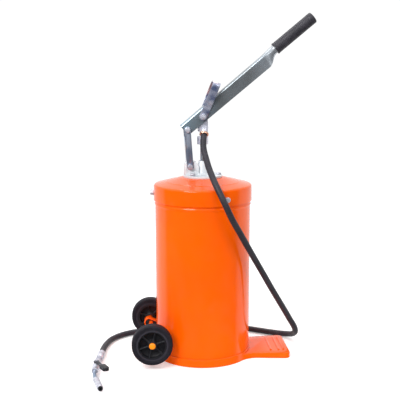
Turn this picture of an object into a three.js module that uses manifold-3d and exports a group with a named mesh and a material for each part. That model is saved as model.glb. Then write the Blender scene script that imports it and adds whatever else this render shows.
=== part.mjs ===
// A wheeled drum pump: a round sheet-steel drum on a pressed foot, two wheels behind it, and a
// hand-lever piston pump on the clamped lid, with a delivery hose and a ball-valve nozzle.
//
// Millimetres, +Z up. The origin is on the drum's axis, at the floor. +X points along the foot,
// the wheels are on the -X side and their axle runs along Y.

import * as THREE from 'three';
import { mergeVertices } from 'three/addons/utils/BufferGeometryUtils.js';
import Module from 'manifold-3d';

const wasm = await Module();
wasm.setup();

// ---- driving dimensions -------------------------------------------------------------------

const GAP = 0.35;            // clearance between pieces that touch
const ROUND = 48;            // facets round the drum, lid and foot

const DRUM_R = 125;
const DRUM_TOP = 455;
const DRUM_WALL = 1.5;

const FOOT_R = 127.7;        // round collar of the foot
const FOOT_COLLAR_TOP = 21;
const FOOT_HALF_WIDTH = 75;  // of the tongue, at its end
const FOOT_TAPER = THREE.MathUtils.degToRad(6.4);
const FOOT_END = 229;
const FOOT_HEIGHT = 15;
const FOOT_WALL = 2;
const FOOT_BEND = 3;         // radius of the pressed edge
const FOOT_FILLET = 55;      // where the tongue flares into the collar
const FOOT_CORNER = 14;
const RIB = { places: [180, 201, 214], halfLength: 48, halfWidth: 3, rise: 3 };

const LID_R = 128.6;
const LID_WALL = 1.5;
const LID_SKIRT_Z = 419.4;
const LID_SHOULDER_Z = 462;
const LID_SHOULDER_R = 6;
const LID_CREASE = { r: 95, z: 468.5 };
const LID_CROWN = { r: 56, z: 479.5 };
const LID_HOLE_R = 22;
const LID_SCREW_Z = 437;
const LID_SCREW_ANGLES = [-67, 53, 173];

const PUMP_FLANGE = { r: 51.5, bottom: 479.85, top: 486 };
const BOSS = { r: 17, topR: 10.5, top: 522 };
const FLANGE_BOLT_CIRCLE_R = 42;
const FLANGE_BOLT_ANGLES = [-12, 108, 228];
const ROD_R = 7;
const ROD_BORE_R = 4;
const ROD_BOTTOM = 108;
const ROD_TOP = 611;
const LOCK_NUT = { flats: 25.6, bottom: 565, top: 586 };
const PUMP_TUBE = { r: 20, wall: 2, bottom: 42, top: 483 };
const FOOT_BALL_R = 6.5;
const PISTON = { bottom: 118, top: 132, sealBottom: 108 };
const ROD_HEAD = { halfX: 12.5, halfY: 13.5, bottom: 599, eyeR: 12, shoulder: 622 };
const OUTLET = { bossR: 9.2, bossLength: 18, glandR: 12, glandHeight: 5.5 };

// Pivots of the lever linkage, in the XZ plane.
const PIVOT_LUG = new THREE.Vector3(-34, 0, 508.5);
const PIVOT_ROD = new THREE.Vector3(0, 0, 638);
const LEVER_ANGLE = THREE.MathUtils.degToRad(39.6);
const LEVER_REAR_ARM = 53.3;                 // rod pivot to link pivot
const BOLT_R = 4;
const BOLT_HOLE_R = 4.35;
const ROD_EYE_HOLE_R = 7.5;                  // slotted eye, which takes up the linkage's arc
const HEX_ACROSS_FLATS = 13;

const LUG_HALF = 17.7;
const LINK = { inner: 18.4, wall: 3, halfWidth: 8.5, webBottom: 16, webTop: 76 };
const CHANNEL = {
  half: 17.9, bottom: -13, rearTop: 19.2, frontTop: 22, wall: 3, corner: 5, rear: -61, front: 213,
};
const LEVER_TUBE = { r: 12, wall: 2.5, centre: 13.2, start: 250, end: 372 };
const GRIP = { start: 254, end: 381, r: 15.5 };
const BAIL = {
  inner: 18.4, wall: 3, halfWidth: 10, bend1: 23, bend2: 67, joggle: 9.5, top: 95, corner: 11,
};
const BAIL_ANGLE = THREE.MathUtils.degToRad(68);

const WHEEL = { r: 52.75, rimR: 37, y: 120.6, half: 13.5, x: -139, z: 65, spokes: 6, hubR: 12.5 };
const HUB_FACE = 13;         // outer end of the hub, from the wheel's middle
const AXLE_R = 6;
const AXLE_END = 137;
const BRACKET = { y: 68, half: 12, wall: 2.5, centreX: -144, outerR: 13 };
const CAP_R = 8.5;

const HOSE_R = 8;
const NOZZLE_START = new THREE.Vector3(-272, -27, 11);
const VALVE = { centre: 97.5, ballR: 6.8, stemR: 3.5, leverAngle: THREE.MathUtils.degToRad(-58) };
const SPOUT_R = 4.5;
const FERRULE_R = 9.6;
const NOZZLE_BORE_R = 4;
const VALVE_ARM = { bottom: 12, top: 15, end: 58, halfWidth: 4.8 };
const ARM_SLEEVE = { start: 34, end: 64, halfWidth: 8, thickness: 9 };
const SPOUT_ROUTE = [
  [0, -119.6, 0], [0.3, -128, 0], [1.3, -140, -0.6], [3.8, -153, -1.6], [7.5, -166, -2.9],
  [12, -179.5, -2.9],
];

// The hose's route: out of the rod head, over the lid's edge, down to the floor, and round
// behind the drum and the rear wheel to the nozzle.
const HOSE_ROUTE = [
  [2, -21, 596], [0.5, -27, 586.5], [-1.5, -43, 561], [5, -71, 528], [9, -88, 512],
  [21, -123, 479], [31, -140, 457], [45, -150, 427], [62, -147, 391], [83, -134, 354],
  [105, -115, 315], [129, -92, 273], [155, -66, 228], [179, -45, 186], [203.5, -24, 144.5],
  [224, -7, 110], [241.5, 10, 80], [254.5, 20, 58], [262, 35, 39.5], [263.5, 53, 27],
  [259.5, 69.5, 18], [252.5, 83, 13], [235, 101.5, 8.5], [199.5, 119.5, 8.5], [167, 139, 8.4],
  [132, 159, 8.4], [106, 168, 8.4], [70, 176, 8.4], [25, 180, 8.4], [-20, 180, 8.4],
  [-70, 175, 8.4], [-115, 167, 8.4], [-160, 156, 8.4], [-195, 142, 8.4], [-225, 120, 8.4],
  [-248, 90, 8.4], [-262, 50, 8.8], [-269, 10, 9.8], [-272, -27, 11], [-274, -47, 11],
];
const HOSE_SIDES = 10;
const HOSE_STEPS = 56;

// ---- materials ----------------------------------------------------------------------------

function finish(colour, roughness, metalness) {
  return new THREE.MeshStandardMaterial({ color: colour, roughness, metalness });
}

const paint = () => finish(0xff6405, 0.3, 0.1);
const zinc = () => finish(0xa9b2bd, 0.28, 0.9);
const castAlloy = () => finish(0xd9dde0, 0.4, 0.7);
const brightSteel = () => finish(0xcfd4d8, 0.2, 1.0);
const copper = () => finish(0xc98b66, 0.35, 1.0);
const brass = () => finish(0xc9a55a, 0.3, 1.0);
const blackPlastic = () => finish(0x34343a, 0.55, 0.0);
const tyreRubber = () => finish(0x3a3a40, 0.8, 0.0);
const gripRubber = () => finish(0x3c3a46, 0.7, 0.0);
const hoseRubber = () => finish(0x55525c, 0.6, 0.0);
const sealRubber = () => finish(0x1c1c1e, 0.7, 0.0);

// ---- geometry helpers ---------------------------------------------------------------------

const degrees = THREE.MathUtils.degToRad;

// One closed, outward-facing mesh of positions only.
function closed(geometry) {
  const bare = geometry.clone();
  for (const name of Object.keys(bare.attributes)) {
    if (name !== 'position') bare.deleteAttribute(name);
  }
  const merged = mergeVertices(bare, 1e-4);
  const source = merged.index.array;
  const place = merged.attributes.position;
  const corner = [new THREE.Vector3(), new THREE.Vector3(), new THREE.Vector3()];
  const kept = [];
  let volume = 0;
  for (let i = 0; i < source.length; i += 3) {
    const [a, b, c] = [source[i], source[i + 1], source[i + 2]];
    if (a === b || b === c || c === a) continue;
    [a, b, c].forEach((k, n) => corner[n].fromBufferAttribute(place, k));
    volume += corner[0].dot(corner[1].clone().cross(corner[2]));
    kept.push(a, b, c);
  }
  if (volume < 0) {
    for (let i = 0; i < kept.length; i += 3) [kept[i], kept[i + 1]] = [kept[i + 1], kept[i]];
  }
  const result = new THREE.BufferGeometry();
  result.setAttribute('position', place);
  result.setIndex(kept);
  return result;
}

function solid(geometry) {
  const mesh = closed(geometry);
  return new wasm.Manifold(new wasm.Mesh({
    numProp: 3,
    vertProperties: new Float32Array(mesh.attributes.position.array),
    triVerts: new Uint32Array(mesh.index.array),
  }));
}

function surface(manifold) {
  const mesh = manifold.getMesh();
  const geometry = new THREE.BufferGeometry();
  geometry.setAttribute('position', new THREE.BufferAttribute(mesh.vertProperties, 3));
  geometry.setIndex(new THREE.BufferAttribute(mesh.triVerts, 1));
  return geometry;
}

const join = (first, ...rest) =>
  surface(rest.reduce((all, next) => all.add(solid(next)), solid(first)));

const cut = (body, ...tools) =>
  surface(tools.reduce((left, tool) => left.subtract(solid(tool)), solid(body)));

const keepInside = (body, region) => surface(solid(body).intersect(solid(region)));

// A turned piece about Z from [radius, height] pairs.
function turned(profile, facets) {
  const points = profile.map(([r, z]) => new THREE.Vector2(r, z));
  return closed(new THREE.LatheGeometry(points, facets).rotateX(Math.PI / 2));
}

// A turned ring: its profile is closed on itself.
const ring = (profile, facets) => turned([...profile, profile[0]], facets);

const sleeve = (inner, outer, bottom, top, facets) =>
  ring([[inner, bottom], [outer, bottom], [outer, top], [inner, top]], facets);

function bar(radius, bottom, top, facets, topRadius = radius) {
  const length = top - bottom;
  const geometry = new THREE.CylinderGeometry(topRadius, radius, length, facets);
  return geometry.rotateX(Math.PI / 2).translate(0, 0, (top + bottom) / 2);
}

const alongY = (geometry) => geometry.clone().rotateX(-Math.PI / 2);

const hexagon = (acrossFlats, bottom, top) => bar(acrossFlats / Math.sqrt(3), bottom, top, 6);

function block(low, high) {
  const size = high.map((value, i) => value - low[i]);
  const centre = high.map((value, i) => (value + low[i]) / 2);
  return new THREE.BoxGeometry(...size).translate(...centre);
}

// An outline in the XZ plane, made solid from one Y to another.
function plate(shape, fromY, toY, curveSteps = 5) {
  const depth = toY - fromY;
  const geometry = new THREE.ExtrudeGeometry(shape, {
    depth, bevelEnabled: false, curveSegments: curveSteps,
  });
  return geometry.rotateX(Math.PI / 2).translate(0, toY, 0);
}

// An outline in the XY plane, made solid from one height to another.
function slab(shape, bottom, top, curveSteps = 5) {
  const depth = top - bottom;
  const geometry = new THREE.ExtrudeGeometry(shape, {
    depth, bevelEnabled: false, curveSegments: curveSteps,
  });
  return geometry.translate(0, 0, bottom);
}

// A pipe or hose along a smooth curve.
function pipe(points, radius, sides, steps) {
  const route = points.map((p) => new THREE.Vector3(...p));
  const curve = new THREE.CatmullRomCurve3(route, false, 'centripetal');
  const section = new THREE.Shape();
  section.absarc(0, 0, radius, 0, 2 * Math.PI, false);
  return closed(new THREE.ExtrudeGeometry(section, {
    steps, curveSegments: sides / 2, bevelEnabled: false, extrudePath: curve,
  }));
}

// A body lofted along X through closed outlines of equally many points: outline(x) gives
// [y, z] pairs.
function loft(stations, outline) {
  const flat = (row) => row.map(([, y, z]) => new THREE.Vector2(y, z));
  const rows = stations.map((x) => {
    const row = outline(x).map(([y, z]) => [x, y, z]);
    return THREE.ShapeUtils.area(flat(row)) < 0 ? row.reverse() : row;
  });
  const count = rows[0].length;
  const index = [];
  for (let row = 0; row + 1 < rows.length; row += 1) {
    for (let i = 0; i < count; i += 1) {
      const [a, b] = [row * count + i, row * count + (i + 1) % count];
      index.push(a, b, b + count, a, b + count, a + count);
    }
  }
  const capEnd = (row, first, outwards) => {
    const points = flat(row);
    for (const [a, b, c] of THREE.ShapeUtils.triangulateShape(points, [])) {
      const turns = THREE.ShapeUtils.area([points[a], points[b], points[c]]) * outwards > 0;
      index.push(first + a, first + (turns ? b : c), first + (turns ? c : b));
    }
  };
  capEnd(rows[0], 0, -1);
  capEnd(rows.at(-1), (rows.length - 1) * count, 1);
  const geometry = new THREE.BufferGeometry();
  geometry.setAttribute('position', new THREE.Float32BufferAttribute(rows.flat(2), 3));
  geometry.setIndex(index);
  return closed(geometry);
}

function place(parent, name, geometry, material) {
  const mesh = new THREE.Mesh(closed(geometry), material);
  mesh.name = name;
  parent.add(mesh);
  return mesh;
}

function group(parent) {
  const made = new THREE.Group();
  parent.add(made);
  return made;
}

// ---- drum, foot and lid -------------------------------------------------------------------

function drumShell() {
  const inner = DRUM_R - DRUM_WALL;
  return turned([
    [0, 0], [DRUM_R - 3, 0], [DRUM_R, 3], [DRUM_R, DRUM_TOP], [inner, DRUM_TOP],
    [inner, 3.6], [inner - 2.1, DRUM_WALL], [0, DRUM_WALL],
  ], ROUND);
}

// Points on an arc about (x, y), from one angle to another.
function arc(x, y, radius, from, to, steps) {
  return Array.from({ length: steps + 1 }, (_, i) => {
    const angle = from + ((to - from) * i) / steps;
    return new THREE.Vector2(x + radius * Math.cos(angle), y + radius * Math.sin(angle));
  });
}

// The foot's outline, drawn in by `inset` all round: a round collar, and a tongue that widens
// towards its end.
function footOutline(inset) {
  const [sin, cos] = [Math.sin(FOOT_TAPER), Math.cos(FOOT_TAPER)];
  const edge = cos * FOOT_HALF_WIDTH - sin * FOOT_END;    // the tongue's side, from the axis
  const cornerX = FOOT_END - FOOT_CORNER;
  const cornerY = (edge - FOOT_CORNER + sin * cornerX) / cos;
  const across = edge + FOOT_FILLET;
  const along = Math.sqrt((FOOT_R + FOOT_FILLET) ** 2 - across ** 2);
  const [filletX, filletY] = [along * cos - across * sin, along * sin + across * cos];
  const touch = Math.atan2(filletY, filletX);
  const corner = FOOT_CORNER - inset;
  const fillet = FOOT_FILLET + inset;
  const quarter = Math.PI / 2;
  return new THREE.Shape([
    ...arc(cornerX, -cornerY, corner, -quarter - FOOT_TAPER, 0, 5),
    ...arc(cornerX, cornerY, corner, 0, quarter + FOOT_TAPER, 5),
    ...arc(filletX, filletY, fillet, FOOT_TAPER - quarter, touch - Math.PI, 6),
    ...arc(0, 0, FOOT_R - inset, touch, 2 * Math.PI - touch, 40).slice(1, -1),
    ...arc(filletX, -filletY, fillet, Math.PI - touch, quarter - FOOT_TAPER, 6),
  ]);
}

function footPressing() {
  const below = 10;
  const depth = FOOT_HEIGHT + below - 2 * FOOT_BEND;
  const outer = new THREE.ExtrudeGeometry(footOutline(0), {
    depth, bevelThickness: FOOT_BEND, bevelSize: FOOT_BEND, bevelOffset: -FOOT_BEND,
    bevelSegments: 2,
  }).translate(0, 0, FOOT_BEND - below);
  const inner = slab(footOutline(FOOT_WALL), -below, FOOT_HEIGHT - FOOT_WALL);
  const collar = ring([
    [DRUM_R, 0], [FOOT_R, 0], [FOOT_R, FOOT_COLLAR_TOP - 1], [FOOT_R - 1, FOOT_COLLAR_TOP],
    [DRUM_R, FOOT_COLLAR_TOP],
  ], ROUND);
  const underFloor = block([-200, -200, -2 * below], [300, 200, 0]);
  const drumHole = bar(DRUM_R + GAP, -1, FOOT_COLLAR_TOP + 1, ROUND);
  const ribs = RIB.places.map((x) => footRib(x));
  return cut(join(cut(outer, inner), collar, ...ribs), underFloor, drumHole);
}

// A rounded ridge across the tongue.
function footRib(x) {
  const profile = [[-1, -1], [1, -1], [0.8, RIB.rise * 0.6], [0, RIB.rise], [-0.8, RIB.rise * 0.6]];
  const ridge = new THREE.Shape(profile.map(([across, rise]) =>
    new THREE.Vector2(x + across * RIB.halfWidth, FOOT_HEIGHT + rise)));
  return plate(ridge, -RIB.halfLength, RIB.halfLength);
}

function lidShell() {
  const centre = [LID_R - LID_SHOULDER_R, LID_SHOULDER_Z - LID_SHOULDER_R];
  const arcPoints = (radius, steps) =>
    arc(...centre, radius, 0, Math.PI / 2, steps).map((p) => [p.x, p.y]);
  const outside = [
    [LID_R, LID_SKIRT_Z], ...arcPoints(LID_SHOULDER_R, 3),
    [LID_CREASE.r, LID_CREASE.z], [LID_CROWN.r, LID_CROWN.z], [LID_HOLE_R, LID_CROWN.z],
  ];
  const inside = [
    [LID_HOLE_R, LID_CROWN.z - LID_WALL], [LID_CROWN.r, LID_CROWN.z - LID_WALL],
    [LID_CREASE.r, LID_CREASE.z - LID_WALL], ...arcPoints(LID_SHOULDER_R - LID_WALL, 2).reverse(),
    [LID_R - LID_WALL, LID_SKIRT_Z],
  ];
  return ring([...outside, ...inside], ROUND);
}

// Turns a piece made along +X by an angle about Z and lifts it to a height.
function around(geometry, angle, height) {
  return geometry.clone().rotateZ(degrees(angle)).translate(0, 0, height);
}

const alongX = (geometry) => geometry.clone().rotateY(Math.PI / 2);

function lid() {
  const screwHole = alongX(bar(BOLT_HOLE_R, LID_R - 8, LID_R + 4, 16));
  const boltHole = bar(BOLT_HOLE_R, LID_CROWN.z - 5, LID_CROWN.z + 5, 16);
  boltHole.translate(FLANGE_BOLT_CIRCLE_R, 0, 0);
  return cut(
    lidShell(),
    ...LID_SCREW_ANGLES.map((angle) => around(screwHole, angle, LID_SCREW_Z)),
    ...FLANGE_BOLT_ANGLES.map((angle) => around(boltHole, angle, 0)),
  );
}

// A hexagon-head screw along +Z: the shank runs from 0 to shankLength, with the head on top.
function hexScrew(shankLength, headHeight, flats = HEX_ACROSS_FLATS) {
  const head = hexagon(flats, shankLength, shankLength + headHeight);
  const chamferCone = bar(flats * 0.62, shankLength - 1, shankLength + headHeight, 18, flats * 0.5);
  const chamfered = keepInside(head, chamferCone);
  return join(bar(BOLT_R, 0, shankLength + 0.5, 16), chamfered);
}

function hexNut(bottom, top, flats = HEX_ACROSS_FLATS) {
  return cut(hexagon(flats, bottom, top), bar(BOLT_HOLE_R, bottom - 1, top + 1, 16));
}

function buildDrum(parent) {
  place(parent, 'drum_shell', drumShell(), paint());
  place(parent, 'foot_plate', footPressing(), paint());
  place(parent, 'drum_lid', lid(), paint());
  place(parent, 'lid_gasket', sleeve(119, 125.5, DRUM_TOP + GAP, DRUM_TOP + 4, ROUND), sealRubber());
  const shankLength = LID_R + GAP - (DRUM_R + GAP);
  LID_SCREW_ANGLES.forEach((angle, i) => {
    const screw = alongX(hexScrew(shankLength, 9.5).translate(0, 0, DRUM_R + GAP));
    place(parent, `lid_clamp_screw_${i + 1}`, around(screw, angle, LID_SCREW_Z), zinc());
  });
}

// ---- pump ---------------------------------------------------------------------------------

function pumpHeadCasting() {
  const body = turned([
    [0, PUMP_FLANGE.bottom], [PUMP_FLANGE.r, PUMP_FLANGE.bottom], [PUMP_FLANGE.r, PUMP_FLANGE.top - 1.5],
    [PUMP_FLANGE.r - 1.5, PUMP_FLANGE.top], [BOSS.r + 5, PUMP_FLANGE.top], [BOSS.r, PUMP_FLANGE.top + 5],
    [BOSS.topR + 1, BOSS.top - 1.5], [BOSS.topR, BOSS.top], [0, BOSS.top],
  ], 32);
  const lug = new THREE.Shape();
  lug.moveTo(-12, PUMP_FLANGE.top - 1);
  lug.lineTo(-12, BOSS.top - 12);
  lug.lineTo(-19, BOSS.top - 1);
  lug.lineTo(-38, BOSS.top - 1);
  lug.absarc(-40, BOSS.top - 8, 7, Math.PI / 2, Math.PI * 0.94, false);
  lug.lineTo(-49, PUMP_FLANGE.top - 1);
  const lugBlock = plate(lug, -LUG_HALF, LUG_HALF);
  const rodHole = bar(ROD_R + GAP, PUMP_FLANGE.bottom - 1, BOSS.top + 1, 24);
  const wiperSeat = bar(9.1, BOSS.top - 5, BOSS.top + 1, 24);
  const tubeSeat = bar(PUMP_TUBE.r + GAP, PUMP_FLANGE.bottom - 1, PUMP_TUBE.top + GAP, 32);
  const pivotHole = alongY(bar(BOLT_HOLE_R, -30, 30, 16)).translate(PIVOT_LUG.x, 0, PIVOT_LUG.z);
  const boltHole = bar(BOLT_HOLE_R, PUMP_FLANGE.bottom - 1, PUMP_FLANGE.top + 1, 16);
  const boltHoles = FLANGE_BOLT_ANGLES.map((angle) =>
    around(boltHole.clone().translate(FLANGE_BOLT_CIRCLE_R, 0, 0), angle, 0));
  return cut(join(body, lugBlock), rodHole, wiperSeat, tubeSeat, pivotHole, ...boltHoles);
}

function buildPump(parent) {
  place(parent, 'pump_head', pumpHeadCasting(), castAlloy());
  place(parent, 'rod_wiper', sleeve(ROD_R + GAP, 8.7, BOSS.top - 4.6, BOSS.top - 0.4, 24), sealRubber());
  FLANGE_BOLT_ANGLES.forEach((angle, i) => {
    const bolt = hexScrew(14, 5.5).translate(FLANGE_BOLT_CIRCLE_R, 0, PUMP_FLANGE.top + GAP - 14);
    place(parent, `flange_bolt_${i + 1}`, around(bolt, angle, 0), zinc());
  });

  const bore = PUMP_TUBE.r - PUMP_TUBE.wall;
  const cylinder = sleeve(bore, PUMP_TUBE.r, PUMP_TUBE.bottom, PUMP_TUBE.top, 28);
  place(parent, 'pump_cylinder', cylinder, brightSteel());
  const valveSeat = ring([
    [4, PUMP_TUBE.bottom - 4], [PUMP_TUBE.r, PUMP_TUBE.bottom - 4], [PUMP_TUBE.r, PUMP_TUBE.bottom - GAP],
    [bore - GAP, PUMP_TUBE.bottom - GAP], [bore - GAP, PUMP_TUBE.bottom + 10], [7, PUMP_TUBE.bottom + 10],
    [4, PUMP_TUBE.bottom + 5],
  ], 24);
  place(parent, 'foot_valve_seat', valveSeat, brass());
  const ball = new THREE.SphereGeometry(FOOT_BALL_R, 12, 8);
  place(parent, 'foot_valve_ball', ball, brightSteel()).position.z = PUMP_TUBE.bottom + 11.7;
  place(parent, 'intake_strainer', strainer(), zinc());
}

// A cup with slots all round, which keeps dirt out of the foot valve.
function strainer() {
  const top = PUMP_TUBE.bottom - 4 - GAP;
  const cup = turned([[0, 10], [PUMP_TUBE.r, 10], [PUMP_TUBE.r, top], [PUMP_TUBE.r - 1.5, top],
    [PUMP_TUBE.r - 1.5, 11.5], [0, 11.5]], 24);
  const slots = [0, 45, 90, 135].map((angle) =>
    block([-30, -2, 16], [30, 2, top - 6]).rotateZ(degrees(angle)));
  return cut(cup, ...slots);
}

function outletDirection() {
  const [start, next] = HOSE_ROUTE.map((p) => new THREE.Vector3(...p));
  return next.sub(start).normalize();
}

// Turns a piece made along +Z so that +Z points along `direction`, and moves it to `origin`.
function aimed(geometry, direction, origin) {
  const turn = new THREE.Quaternion().setFromUnitVectors(new THREE.Vector3(0, 0, 1), direction);
  return geometry.clone().applyQuaternion(turn).translate(origin.x, origin.y, origin.z);
}

function rodHead() {
  const { halfX, halfY, bottom, eyeR, shoulder } = ROD_HEAD;
  const shape = new THREE.Shape();
  shape.moveTo(-halfX, bottom);
  shape.lineTo(halfX, bottom);
  shape.lineTo(halfX, shoulder);
  shape.lineTo(eyeR, shoulder + 4);
  shape.absarc(0, PIVOT_ROD.z, eyeR, 0, Math.PI, false);
  shape.lineTo(-halfX, shoulder);
  const body = plate(shape, -halfY, halfY, 7);
  const hoseStart = new THREE.Vector3(...HOSE_ROUTE[0]);
  const boss = bar(OUTLET.bossR, -OUTLET.bossLength, -GAP, 24);
  const outlet = aimed(boss, outletDirection(), hoseStart);
  const rodSocket = bar(ROD_R + GAP, bottom - 20, ROD_TOP + GAP, 24);
  const eyeHole = alongY(bar(ROD_EYE_HOLE_R, -20, 20, 24)).translate(0, 0, PIVOT_ROD.z);
  return cut(join(body, outlet), rodSocket, eyeHole);
}

function buildRod(parent) {
  place(parent, 'pump_rod', sleeve(ROD_BORE_R, ROD_R, ROD_BOTTOM, ROD_TOP, 24), brightSteel());
  const bore = PUMP_TUBE.r - PUMP_TUBE.wall;
  const piston = sleeve(ROD_R + GAP, bore - 1, PISTON.bottom, PISTON.top, 24);
  place(parent, 'piston', piston, brass());
  const sealTop = PISTON.bottom - GAP;
  place(parent, 'piston_seal', ring([
    [ROD_R + GAP, PISTON.sealBottom + 6], [bore - 0.5, PISTON.sealBottom], [bore - 0.5, sealTop],
    [ROD_R + GAP, sealTop],
  ], 24), sealRubber());
  const nut = hexagon(LOCK_NUT.flats, LOCK_NUT.bottom, LOCK_NUT.top).rotateZ(Math.PI / 6);
  const threadHole = bar(ROD_R + GAP, LOCK_NUT.bottom - 1, LOCK_NUT.top + 1, 24);
  place(parent, 'rod_lock_nut', cut(nut, threadHole), zinc());
  place(parent, 'rod_head', rodHead(), zinc());
  const gland = sleeve(HOSE_R + GAP, OUTLET.glandR, 0, OUTLET.glandHeight, 28);
  const hoseStart = new THREE.Vector3(...HOSE_ROUTE[0]);
  place(parent, 'outlet_gland', aimed(gland, outletDirection(), hoseStart), copper());
}

// ---- lever linkage ------------------------------------------------------------------------

// A bolt across the linkage, along Y, with its head at -Y unless `flipped`.
function pivotBolt(halfSpan, flipped) {
  const shank = 2 * halfSpan + 8.5;
  const bolt = hexScrew(shank, 5.5).translate(0, 0, -halfSpan - 8.5);
  return alongY(bolt).rotateZ(flipped ? 0 : Math.PI);
}

const pivotNut = (halfSpan, side) =>
  alongY(hexNut(halfSpan, halfSpan + 6.5)).rotateZ(side > 0 ? 0 : Math.PI);

function linkChannel(length) {
  const flange = new THREE.Shape();
  flange.absarc(0, 0, LINK.halfWidth, Math.PI, 2 * Math.PI, false);
  flange.absarc(0, length, LINK.halfWidth, 0, Math.PI, false);
  const outer = LINK.inner + LINK.wall;
  const web = block(
    [-LINK.halfWidth, -outer, LINK.webBottom], [-LINK.halfWidth + LINK.wall, outer, LINK.webTop],
  );
  const body = join(web, plate(flange, -outer, -LINK.inner, 6), plate(flange, LINK.inner, outer, 6));
  const hole = alongY(bar(BOLT_HOLE_R, -30, 30, 16));
  return cut(body, hole, hole.clone().translate(0, 0, length));
}

// The lever's section: a channel open below that closes into a split tube towards the grip.
function leverSection(x) {
  const blend = THREE.MathUtils.smoothstep(x, CHANNEL.front, LEVER_TUBE.start);
  const cornerSteps = 4;
  const along = (x - CHANNEL.rear) / (CHANNEL.front - CHANNEL.rear);
  const top = THREE.MathUtils.lerp(CHANNEL.rearTop, CHANNEL.frontTop, Math.min(along, 1));
  const channelPath = (inset) => {
    const half = CHANNEL.half - inset;
    const corner = CHANNEL.corner - inset * 0.8;
    const cornerZ = top - inset - corner;
    const left = arc(corner - half, cornerZ, corner, Math.PI, Math.PI / 2, cornerSteps);
    const right = arc(half - corner, cornerZ, corner, Math.PI / 2, 0, cornerSteps);
    const corners = [...left, ...right].map((p) => [p.x, p.y]);
    return [[-half, CHANNEL.bottom], [-half, 0], ...corners, [half, 0], [half, CHANNEL.bottom]];
  };
  const tubePath = (inset, count) => Array.from({ length: count }, (_, i) => {
    const angle = degrees(-98 - (344 * i) / (count - 1));
    const radius = LEVER_TUBE.r - inset;
    return [radius * Math.cos(angle), LEVER_TUBE.centre + radius * Math.sin(angle)];
  });
  const section = [0, 1].map((side) => {
    const from = channelPath(side * CHANNEL.wall);
    const to = tubePath(side * LEVER_TUBE.wall, from.length);
    return from.map((p, i) => [p[0] + (to[i][0] - p[0]) * blend, p[1] + (to[i][1] - p[1]) * blend]);
  });
  return [...section[0], ...section[1].reverse()];
}

function leverChannel() {
  const neck = [0.2, 0.4, 0.6, 0.8].map((t) => CHANNEL.front + t * (LEVER_TUBE.start - CHANNEL.front));
  const body = loft([CHANNEL.rear, CHANNEL.front, ...neck, LEVER_TUBE.start, LEVER_TUBE.end], leverSection);
  const hole = alongY(bar(BOLT_HOLE_R, -30, 30, 16));
  return cut(body, hole, hole.clone().translate(-LEVER_REAR_ARM, 0, 0));
}

function leverGrip() {
  const bore = LEVER_TUBE.r + GAP;
  const profile = [
    [bore, GRIP.start], [GRIP.r - 1.5, GRIP.start], [GRIP.r, GRIP.start + 1.5], [GRIP.r, GRIP.end - 2],
    [GRIP.r - 2, GRIP.end], [0, GRIP.end], [0, LEVER_TUBE.end + 2], [bore, LEVER_TUBE.end + 2],
  ];
  return alongX(turned([...profile, profile[0]], 28)).translate(0, 0, LEVER_TUBE.centre);
}

// A bent strap over the lever: its legs stand out past the link before they meet at the top.
function bailStrap() {
  const legs = (inset) => {
    const low = BAIL.inner + BAIL.wall - inset;
    const high = low + BAIL.joggle;
    const top = BAIL.top - inset;
    const corner = BAIL.corner - inset;
    const right = [[low, -BAIL.halfWidth], [low, BAIL.bend1], [high, BAIL.bend2]];
    for (let i = 0; i <= 4; i += 1) {
      const angle = (Math.PI / 2) * (i / 4);
      right.push([high - corner + corner * Math.cos(angle), top - corner + corner * Math.sin(angle)]);
    }
    const left = right.map(([y, z]) => [-y, z]).reverse();
    return [...right, ...left];
  };
  const outline = [...legs(0), ...legs(BAIL.wall).reverse()];
  const strap = loft([-BAIL.halfWidth, BAIL.halfWidth], () => outline);
  const face = new THREE.Shape();
  face.absarc(0, 0, BAIL.halfWidth, Math.PI, 2 * Math.PI, false);
  face.lineTo(BAIL.halfWidth, BAIL.top + 1);
  face.lineTo(-BAIL.halfWidth, BAIL.top + 1);
  const rounded = keepInside(strap, plate(face, -60, 60, 6));
  return cut(rounded, alongY(bar(BOLT_HOLE_R, -60, 60, 16)));
}

function buildLinkage(parent) {
  const pivotLink = new THREE.Vector3(
    PIVOT_ROD.x - LEVER_REAR_ARM * Math.cos(LEVER_ANGLE), 0,
    PIVOT_ROD.z - LEVER_REAR_ARM * Math.sin(LEVER_ANGLE),
  );
  const outer = LINK.inner + LINK.wall + GAP;

  const link = group(parent);
  link.position.copy(PIVOT_LUG);
  const span = pivotLink.clone().sub(PIVOT_LUG);
  link.rotation.y = Math.atan2(span.x, span.z);
  place(link, 'link', linkChannel(span.length()), zinc());
  place(link, 'lug_bolt', pivotBolt(outer, false), zinc());
  place(link, 'lug_nut', pivotNut(outer, 1), zinc());

  const lever = group(parent);
  lever.position.copy(PIVOT_ROD);
  lever.rotation.y = -LEVER_ANGLE;
  place(lever, 'lever', leverChannel(), zinc());
  place(lever, 'lever_grip', leverGrip(), gripRubber());
  place(lever, 'link_bolt', pivotBolt(outer, false).translate(-LEVER_REAR_ARM, 0, 0), zinc());
  place(lever, 'link_nut', pivotNut(outer, 1).translate(-LEVER_REAR_ARM, 0, 0), zinc());
  place(lever, 'rod_bolt', pivotBolt(outer, true), zinc());
  place(lever, 'rod_nut', pivotNut(outer, -1), zinc());

  const bail = group(parent);
  bail.position.copy(PIVOT_ROD);
  bail.rotation.y = Math.PI / 2 - BAIL_ANGLE;
  place(bail, 'bail', bailStrap(), zinc());
}

// ---- wheels -------------------------------------------------------------------------------

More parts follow.
